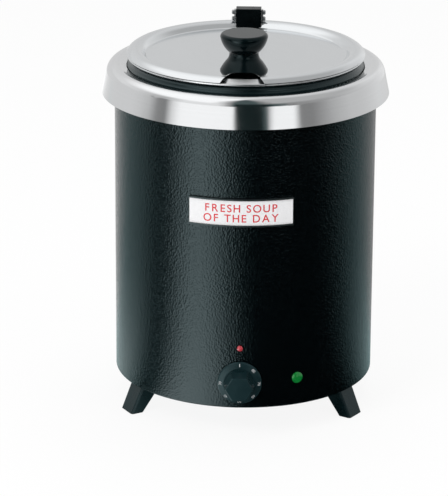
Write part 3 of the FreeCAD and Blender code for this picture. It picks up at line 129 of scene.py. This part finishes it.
# Rims of the board, from the table under the kettle to the ceiling: radius, height, list, fade.
BOARD_RIMS = (
    (0.02, -0.002, SHADOW, TABLE_FADE),
    (0.14, -0.002, SHADOW, TABLE_FADE),
    (0.2, -0.002, NEAR_TABLE, TABLE_FADE),
    (0.3, -0.002, NEAR_TABLE, TABLE_FADE),
    (0.6, -0.002, FAR_TABLE, TABLE_FADE),
    (2.6, -0.3, FAR_TABLE, TABLE_FADE),
    (2.6, 0.1, LOW_WALL, WALL_FADE),
    (2.6, 0.36, LOW_WALL, WALL_FADE),
    (2.6, 0.43, HORIZON, WALL_FADE),
    (2.6, 1.0, HORIZON, WALL_FADE),
    (2.6, 1.15, HIGH_WALL, WALL_FADE),
    (2.6, 1.8, HIGH_WALL, WALL_FADE),
    (2.2, 2.5, CEILING, WALL_FADE),
    (0.05, 3.2, CEILING, WALL_FADE),
)

# Most values of a noise texture lie between these two, and of a cell texture between the others.
NOISE_RANGE = (0.3, 0.7)
CELL_RANGE = (0.1, 0.6)


class Surface:
    """A material's node tree, with short ways to add and join nodes. Sizes in mm."""

    def __init__(self, name):
        self.material = bpy.data.materials.new(name)
        self.material.use_nodes = True
        self.nodes = self.material.node_tree.nodes
        self.links = self.material.node_tree.links
        self.shader = self.nodes["Principled BSDF"]
        self.coords = self.nodes.new("ShaderNodeTexCoord").outputs["Object"]

    def set(self, **values):
        for key, value in values.items():
            socket = self.shader.inputs[key.replace("_", " ").title().replace("Ior", "IOR")]
            socket.default_value = (*value, 1) if isinstance(value, tuple) else value

    def add(self, kind, inputs, **settings):
        node = self.nodes.new(kind)
        for key, value in settings.items():
            setattr(node, key, value)
        for key, value in inputs.items():
            if isinstance(value, bpy.types.NodeSocket):
                self.links.new(value, node.inputs[key])
            else:
                node.inputs[key].default_value = value
        return node

    def vectors(self, operation, first, second):
        inputs = {0: first, 1: second}
        return self.add("ShaderNodeVectorMath", inputs, operation=operation).outputs[0]

    def turned(self):
        """Distance from the kettle's axis and height, for the fine rings of spun metal."""
        flat = self.vectors("MULTIPLY", self.coords, (1, 1, 0))
        radius = self.add("ShaderNodeVectorMath", {0: flat}, operation="LENGTH").outputs["Value"]
        height = self.add("ShaderNodeSeparateXYZ", {0: self.coords}).outputs["Z"]
        return self.add("ShaderNodeCombineXYZ", {0: radius, 1: height}).outputs[0]

    def noise(self, size, detail=3, coords=None):
        inputs = {"Vector": coords or self.coords, "Scale": 1 / (size * MM), "Detail": detail}
        return self.add("ShaderNodeTexNoise", inputs).outputs[0]

    def cells(self, size, softness, coords=None):
        inputs = {"Vector": coords or self.coords, "Scale": 1 / (size * MM)}
        inputs["Smoothness"] = softness
        return self.add("ShaderNodeTexVoronoi", inputs, feature="SMOOTH_F1").outputs["Distance"]

    def spread(self, value, low, high, limits):
        inputs = {"Value": value, "From Min": limits[0], "From Max": limits[1]}
        inputs.update({"To Min": low, "To Max": high})
        return self.add("ShaderNodeMapRange", inputs).outputs[0]

    def colours(self, value, dark, light, limits=NOISE_RANGE):
        share = self.spread(value, 0, 1, limits)
        mix = self.add("ShaderNodeMix", {"Factor": share}, data_type="RGBA")
        colour_inputs = [socket for socket in mix.inputs if socket.type == "RGBA"]
        colour_inputs[0].default_value = (*dark, 1)
        colour_inputs[1].default_value = (*light, 1)
        colour_output = next(socket for socket in mix.outputs if socket.type == "RGBA")
        self.links.new(colour_output, self.shader.inputs["Base Color"])

    def roughen(self, value, low, high):
        roughness = self.spread(value, low, high, NOISE_RANGE)
        self.links.new(roughness, self.shader.inputs["Roughness"])

    def bump(self, height, depth, strength):
        below = self.shader.inputs["Normal"]
        inputs = {"Height": height, "Distance": depth * MM, "Strength": strength}
        if below.is_linked:
            inputs["Normal"] = below.links[0].from_socket
        self.links.new(self.add("ShaderNodeBump", inputs).outputs[0], below)


# Finishes: one function for each kind of surface. "smooth" and "worn" are its least and most
# roughness. Black paint and plastic have a slightly cool shine.
COOL_SHINE = (0.72, 0.96, 1.0)
PEBBLE_MM = 2.1
PEBBLE_SOFTNESS = 0.4
PEBBLE_WANDER_MM = 2.4
PEBBLE_SHIFT_MM = 1.1
CLOUD_MM = 1.1


def hammer_paint(name):
    """Black enamel with the pebbled skin of a hammer finish."""
    surface = Surface(name)
    wander = surface.noise(PEBBLE_WANDER_MM, detail=2)
    shift = surface.vectors("MULTIPLY", wander, (PEBBLE_SHIFT_MM * MM,) * 3)
    moved = surface.vectors("ADD", surface.coords, shift)
    pebbles = surface.cells(PEBBLE_MM, PEBBLE_SOFTNESS, moved)
    cloud = surface.noise(CLOUD_MM, detail=2)
    hollow, crown = (0.0007, 0.0026, 0.0034), (0.0003, 0.0012, 0.0018)
    surface.colours(pebbles, hollow, crown, CELL_RANGE)
    surface.roughen(cloud, low=0.17, high=0.26)
    surface.bump(pebbles, depth=0.5, strength=0.8)
    surface.bump(cloud, depth=0.16, strength=0.5)
    surface.set(specular_tint=COOL_SHINE)
    return surface.material


def spun_steel(name, colour, smooth, worn):
    """Polished sheet turned on a lathe: faint rings, and cloudy wiping marks in the gloss."""
    surface = Surface(name)
    rings = surface.noise(size=0.35, detail=2, coords=surface.turned())
    smears = surface.noise(size=28, detail=4)
    darker = tuple(0.95 * part for part in colour)
    surface.colours(rings, darker, colour)
    surface.roughen(smears, smooth, worn)
    surface.bump(rings, depth=0.004, strength=0.35)
    surface.set(metallic=1.0)
    return surface.material


def plated_steel(name, colour, smooth, worn):
    """Sheet, screws and nuts with a dull plated skin."""
    surface = Surface(name)
    upright = surface.vectors("MULTIPLY", surface.coords, (1, 1, 0.2))
    skin = surface.noise(size=0.5, coords=upright)
    stains = surface.noise(size=9, detail=4)
    darker = tuple(0.78 * part for part in colour)
    surface.colours(stains, darker, colour)
    surface.roughen(skin, smooth, worn)
    surface.bump(skin, depth=0.01, strength=0.4)
    surface.set(metallic=1.0)
    return surface.material


def moulding(name, dark, light, smooth, worn, grain, depth, shine):
    """Moulded plastic or rubber with a fine grain and slightly uneven gloss."""
    surface = Surface(name)
    pores = surface.noise(grain)
    patches = surface.noise(size=14)
    surface.colours(patches, dark, light)
    surface.roughen(patches, smooth, worn)
    surface.bump(pores, depth, strength=0.5)
    surface.set(specular_ior_level=shine, specular_tint=COOL_SHINE)
    return surface.material


def lamp_lens(name, dark, light):
    """Coloured lens with cells pressed into its inside and a clear, glossy outside."""
    surface = Surface(name)
    facets = surface.cells(size=1.1, softness=0.2)
    surface.colours(facets, light, dark, CELL_RANGE)
    surface.roughen(surface.noise(size=2), low=0.16, high=0.26)
    surface.bump(facets, depth=0.06, strength=0.4)
    surface.set(coat_weight=0.4, coat_roughness=0.05)
    return surface.material


def printed_card(name, dark, light):
    surface = Surface(name)
    level = surface.vectors("MULTIPLY", surface.coords, (1, 1, 3))
    fibres = surface.noise(size=0.6, detail=4, coords=level)
    surface.colours(fibres, dark, light)
    surface.roughen(fibres, low=0.38, high=0.5)
    surface.bump(fibres, depth=0.01, strength=0.3)
    return surface.material


def ink(name, dark, light):
    surface = Surface(name)
    specks = surface.noise(size=0.4)
    surface.colours(specks, dark, light)
    surface.roughen(specks, low=0.4, high=0.55)
    return surface.material


# Finish of each material slot, in groups of one kind.
# Spun and plated metal: colour, smooth, worn.
SPUN_STEELS = {
    "polished_steel": ((0.8, 0.81, 0.82), 0.07, 0.12),
    "lid_steel": ((0.75, 0.77, 0.785), 0.09, 0.15),
    "pot_steel": ((0.74, 0.75, 0.76), 0.16, 0.26),
    "pan_steel": ((0.7, 0.71, 0.72), 0.2, 0.34),
}
PLATED_STEELS = {
    "hinge_steel": ((0.74, 0.75, 0.76), 0.16, 0.3),
    "pin_steel": ((0.55, 0.56, 0.57), 0.2, 0.34),
    "zinc_sheet": ((0.55, 0.56, 0.58), 0.32, 0.5),
    "fastener_steel": ((0.6, 0.6, 0.62), 0.22, 0.38),
    "element_steel": ((0.3, 0.28, 0.27), 0.35, 0.55),
    "heater_aluminium": ((0.75, 0.75, 0.76), 0.35, 0.5),
    "copper_tube": ((0.72, 0.42, 0.25), 0.2, 0.36),
}
# Mouldings: dark, light, smooth, worn, size and depth of the grain in mm, shine.
MOULDINGS = {
    "knob_plastic": (
        (0.0006, 0.0024, 0.003), (0.0018, 0.0045, 0.0054), 0.07, 0.13, 2, 0.006, 0.23,
    ),
    "hinge_plastic": (
        (0.0005, 0.0012, 0.0016), (0.001, 0.002, 0.0024), 0.2, 0.3, 0.7, 0.02, 0.16,
    ),
    "dial_plastic": (
        (0.0055, 0.0185, 0.0215), (0.0085, 0.0235, 0.027), 0.26, 0.34, 0.5, 0.03, 0.3,
    ),
    "foot_plastic": (
        (0.0016, 0.0078, 0.0095), (0.003, 0.011, 0.013), 0.24, 0.34, 0.8, 0.03, 0.34,
    ),
    "holder_plastic": (
        (0.012, 0.015, 0.016), (0.02, 0.024, 0.025), 0.3, 0.42, 0.6, 0.02, 0.5,
    ),
    "gland_plastic": (
        (0.008, 0.009, 0.01), (0.014, 0.015, 0.016), 0.4, 0.55, 0.6, 0.03, 0.5,
    ),
    "control_plastic": (
        (0.6, 0.59, 0.55), (0.72, 0.71, 0.67), 0.4, 0.55, 0.8, 0.02, 0.5,
    ),
    "seal_rubber": (
        (0.002, 0.0065, 0.0075), (0.0045, 0.0105, 0.012), 0.2, 0.28, 0.5, 0.02, 0.6,
    ),
}
# Lenses, and below them the card and the inks: dark, light.
LENSES = {
    "green_lens": ((0.0, 0.17, 0.022), (0.0, 0.25, 0.04)),
    "red_lens": ((0.4, 0.03, 0.04), (0.72, 0.1, 0.13)),
}
FINISHES = {"shell_paint": hammer_paint("hammer_paint")}
for make_finish, group in (
    (spun_steel, SPUN_STEELS),
    (plated_steel, PLATED_STEELS),
    (moulding, MOULDINGS),
    (lamp_lens, LENSES),
):
    FINISHES.update({slot: make_finish(slot, *values) for slot, values in group.items()})
FINISHES["card_white"] = printed_card("card_white", (0.82, 0.82, 0.83), (0.9, 0.9, 0.91))
WHITE_INK = ink("white_ink", (0.5, 0.52, 0.53), (0.62, 0.64, 0.65))
RED_INK = ink("red_ink", (0.62, 0.02, 0.03), (0.75, 0.05, 0.06))


def dress_nodes():
    for subpart in frame["record"]["subparts"]:
        mesh = frame["nodes"][subpart["node"]].data
        mesh.materials.clear()
        mesh.materials.append(FINISHES[subpart["material_slot"]])


# Printed marks: flat letters and bars a little proud of what carries them.
PRINT_MM = 0.06
BEVEL_SHARE = 0.25


def letter_mesh(text, size, stroke=0.0):
    """One word set flat about the origin; stroke thickens its lines."""
    curve = bpy.data.curves.new(f"letter_{text}", "FONT")
    curve.body = text
    curve.size = size
    curve.align_x = "CENTER"
    curve.align_y = "CENTER"
    curve.extrude = PRINT_MM * MM / 2
    curve.offset = stroke
    holder = bpy.data.objects.new(f"letter_{text}", curve)
    bpy.context.scene.collection.objects.link(holder)
    graph = bpy.context.evaluated_depsgraph_get()
    mesh = bpy.data.meshes.new_from_object(holder.evaluated_get(graph))
    bpy.data.objects.remove(holder)
    bpy.data.curves.remove(curve)
    return mesh


def bar_mesh(width, height, depth):
    mesh = bpy.data.meshes.new("bar")
    form = bmesh.new()
    bmesh.ops.create_cube(form, size=1)
    bmesh.ops.scale(form, vec=(width, height, depth), verts=form.verts)
    bmesh.ops.bevel(form, geom=form.edges[:], offset=depth * BEVEL_SHARE, segments=1)
    form.to_mesh(mesh)
    form.free()
    return mesh


def add_print(name, placed, material, body):
    """Join meshes, each moved by its matrix, into one piece that rides on a body."""
    form = bmesh.new()
    for mesh, matrix in placed:
        mesh.transform(matrix)
        form.from_mesh(mesh)
        bpy.data.meshes.remove(mesh)
    joined = bpy.data.meshes.new(name)
    form.to_mesh(joined)
    form.free()
    joined.materials.append(material)
    piece = bpy.data.objects.new(name, joined)
    bpy.context.scene.collection.objects.link(piece)
    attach(piece, body)


# Dial print: a bar where the heat is off, and degrees that run against the clock round the skirt.
# The skirt falls by DIAL_FALL_MM over DIAL_SKIRT_MM, and its printed ring lies DIAL_FACE_MM in
# front of the dial's back.
DIAL_TEXT_MM = 4.6
DIAL_RING_SHARE = 0.87
DIAL_FALL_MM, DIAL_SKIRT_MM = 2.0, 5.8
DIAL_FACE_MM = 3.8
DIAL_NUMBERS = {"30": 270, "40": 225, "50": 180, "60": 135, "70": 90, "80": 45}
OFF_BAR_MM = (0.9, 3.6)


def dial_print():
    low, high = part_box("dial_knob")
    centre = (low + high) / 2
    radius = (high.x - low.x) / 2 * DIAL_RING_SHARE
    face = Vector((centre.x, high.y - DIAL_FACE_MM * MM, centre.z))
    slope = math.atan2(DIAL_FALL_MM, DIAL_SKIRT_MM)
    marks = [(letter_mesh(text, DIAL_TEXT_MM * MM), clock) for text, clock in DIAL_NUMBERS.items()]
    marks.append((bar_mesh(OFF_BAR_MM[0] * MM, OFF_BAR_MM[1] * MM, PRINT_MM * MM), 0))
    placed = []
    for mesh, clock in marks:
        turn = math.radians(clock)
        outward = Vector((math.sin(turn), 0, math.cos(turn)))
        along = Vector((math.cos(turn), 0, -math.sin(turn)))
        climb = outward * math.cos(slope) + Vector((0, 1, 0)) * math.sin(slope)
        normal = along.cross(climb)
        lie = Matrix((along, climb, normal)).transposed().to_4x4()
        placed.append((mesh, Matrix.Translation(face + outward * radius) @ lie))
    add_print("dial_print", placed, WHITE_INK, "dial")


# Card print: two rows of plain red capitals, set letter by letter round the curve of the card.
# Each row has its words and its height as a share of the card's.
CARD_ROWS = (("FRESH SOUP", 0.66), ("OF THE DAY", 0.28))
CARD_TEXT_MM = 13
CARD_STROKE_MM = 0.14
CARD_LETTER_GAP_MM = 2.2
CARD_SPACE_MM = 5
CARD_NARROW = 0.98


def card_print():
    low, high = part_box("label_card")
    radius = -low.y + PRINT_MM * MM / 2
    stand = Matrix.Rotation(math.radians(90), 4, "X") @ Matrix.Diagonal((CARD_NARROW, 1, 1, 1))
    placed = []
    for words, share in CARD_ROWS:
        middle = low.z + (high.z - low.z) * share
        letters = []
        place = 0.0
        for letter in words:
            if letter == " ":
                place += CARD_SPACE_MM * MM
                continue
            mesh = letter_mesh(letter, CARD_TEXT_MM * MM, CARD_STROKE_MM * MM)
            reach = max(abs(vertex.co.x) for vertex in mesh.vertices) * CARD_NARROW
            letters.append((mesh, place + reach))
            place += 2 * reach + CARD_LETTER_GAP_MM * MM
        half = (place - CARD_LETTER_GAP_MM * MM) / 2
        for mesh, along in letters:
            turn = Matrix.Rotation((along - half) / radius, 4, "Z")
            placed.append((mesh, turn @ Matrix.Translation((0, -radius, middle)) @ stand))
    add_print("card_print", placed, RED_INK, "base")


# Studio.
def stage_piece(name, mesh):
    """A mesh that isn't part of the kettle, with the nodes and links of its new material."""
    material = bpy.data.materials.new(name)
    material.use_nodes = True
    mesh.materials.append(material)
    thing = bpy.data.objects.new(name, mesh)
    bpy.context.scene.collection.objects.link(thing)
    return thing, material.node_tree.nodes, material.node_tree.links


def brightness(profile, azimuth):
    for (start, low), (end, high) in zip(profile, profile[1:]):
        if start <= azimuth <= end:
            return low + (high - low) * (azimuth - start) / (end - start)


def reflection_board():
    """One board of revolution round and over the kettle that glows as its rims' lists say."""
    columns = round(360 / BOARD_STEP)
    points, glow, faces = [], [], []
    for radius, height, profile, fade in BOARD_RIMS:
        for column in range(columns):
            azimuth = column * BOARD_STEP - 180
            turn = math.radians(azimuth)
            points.append((math.sin(turn) * radius, -math.cos(turn) * radius, height))
            level = brightness(profile, azimuth)
            behind = (abs(azimuth) - TINT_ENDS[0]) / (TINT_ENDS[1] - TINT_ENDS[0])
            clear = min(1, max(level / fade, behind))
            glow.extend(level * (part + (1 - part) * clear) for part in SHADE_TINT)
            glow.append(1)
    for rim in range(len(BOARD_RIMS) - 1):
        near, far = rim * columns, (rim + 1) * columns
        for column in range(columns):
            after = (column + 1) % columns
            faces.append((near + column, near + after, far + after, far + column))
    mesh = bpy.data.meshes.new("reflection_board")
    mesh.from_pydata(points, [], faces)
    mesh.attributes.new("glow", "FLOAT_COLOR", "POINT").data.foreach_set("color", glow)
    board, nodes, links = stage_piece("reflection_board", mesh)
    nodes.remove(nodes["Principled BSDF"])
    colour = nodes.new("ShaderNodeAttribute")
    colour.attribute_name = "glow"
    emission = nodes.new("ShaderNodeEmission")
    links.new(colour.outputs["Color"], emission.inputs["Color"])
    links.new(emission.outputs[0], nodes["Material Output"].inputs["Surface"])
    board.visible_camera = False
    board.visible_diffuse = False
    board.visible_shadow = False


def make_floor():
    """A pale floor that keeps the shadow, mixed with white where the camera sees it."""
    mesh = bpy.data.meshes.new("floor")
    form = bmesh.new()
    bmesh.ops.create_circle(form, cap_ends=True, segments=FLOOR_SEGMENTS, radius=FLOOR_RADIUS)
    form.to_mesh(mesh)
    form.free()
    floor, nodes, links = stage_piece("floor", mesh)
    shader = nodes["Principled BSDF"]
    shader.inputs["Base Color"].default_value = (FLOOR_GREY, FLOOR_GREY, FLOOR_GREY, 1)
    shader.inputs["Roughness"].default_value = FLOOR_ROUGHNESS
    white = nodes.new("ShaderNodeEmission")
    path = nodes.new("ShaderNodeLightPath")
    share = nodes.new("ShaderNodeMath")
    share.operation = "MULTIPLY"
    share.inputs[1].default_value = FLOOR_GLOW
    mix = nodes.new("ShaderNodeMixShader")
    links.new(path.outputs["Is Camera Ray"], share.inputs[0])
    links.new(share.outputs[0], mix.inputs[0])
    links.new(shader.outputs[0], mix.inputs[1])
    links.new(white.outputs[0], mix.inputs[2])
    links.new(mix.outputs[0], nodes["Material Output"].inputs["Surface"])
    floor.visible_glossy = False


def make_world():
    """White to the camera, to reflections and through glass; a plain ambient level elsewhere."""
    world = bpy.data.worlds.new("studio")
    bpy.context.scene.world = world
    world.use_nodes = True
    nodes, links = world.node_tree.nodes, world.node_tree.links
    path = nodes.new("ShaderNodeLightPath")
    seen = path.outputs["Is Camera Ray"]
    for kind in ("Is Glossy Ray", "Is Transmission Ray"):
        either = nodes.new("ShaderNodeMath")
        either.operation = "MAXIMUM"
        links.new(seen, either.inputs[0])
        links.new(path.outputs[kind], either.inputs[1])
        seen = either.outputs[0]
    level = nodes.new("ShaderNodeMapRange")
    level.inputs["To Min"].default_value = AMBIENT
    level.inputs["To Max"].default_value = 1
    links.new(seen, level.inputs["Value"])
    background = nodes["Background"]
    background.inputs["Color"].default_value = (1, 1, 1, 1)
    links.new(level.outputs[0], background.inputs["Strength"])


def make_lamps(target):
    for name, (spot, width, power) in LAMPS.items():
        light = bpy.data.lights.new(name, "AREA")
        light.shape = "DISK"
        light.size = width
        light.energy = power
        lamp = bpy.data.objects.new(name, light)
        lamp.location = spot
        lamp.rotation_euler = (target - lamp.location).to_track_quat("-Z", "Y").to_euler()
        lamp.visible_glossy = False
        lamp.visible_camera = False
        bpy.context.scene.collection.objects.link(lamp)


def make_camera():
    yaw, pitch, roll = map(math.radians, (CAMERA_YAW, CAMERA_PITCH, CAMERA_ROLL))
    reach, drop = math.cos(pitch), math.sin(pitch)
    forward = Vector((math.sin(yaw) * reach, math.cos(yaw) * reach, -drop))
    right = Vector((math.cos(yaw), -math.sin(yaw), 0))
    above = right.cross(forward)
    tilted_right = right * math.cos(roll) + above * math.sin(roll)
    tilted_above = above * math.cos(roll) - right * math.sin(roll)
    basis = Matrix((tilted_right, tilted_above, -forward)).transposed().to_4x4()
    spot = Matrix.Translation((0, -CAMERA_DISTANCE, CAMERA_HEIGHT))
    lens = bpy.data.cameras.new("camera")
    lens.sensor_width = SENSOR_MM
    lens.lens = FOCAL_PIXELS / max(IMAGE_WIDTH, IMAGE_HEIGHT) * SENSOR_MM
    lens.clip_end = CAMERA_REACH
    camera = bpy.data.objects.new("camera", lens)
    camera.matrix_world = Matrix.Rotation(math.radians(CAMERA_AZIMUTH), 4, "Z") @ spot @ basis
    bpy.context.scene.collection.objects.link(camera)
    bpy.context.scene.camera = camera


dress_nodes()
dial_print()
card_print()
make_floor()
make_world()
reflection_board()
make_lamps(Vector((0, 0, (CAD_BOX[0].z + CAD_BOX[1].z) / 2)))
make_camera()
bpy.context.scene.view_settings.view_transform = "Standard"
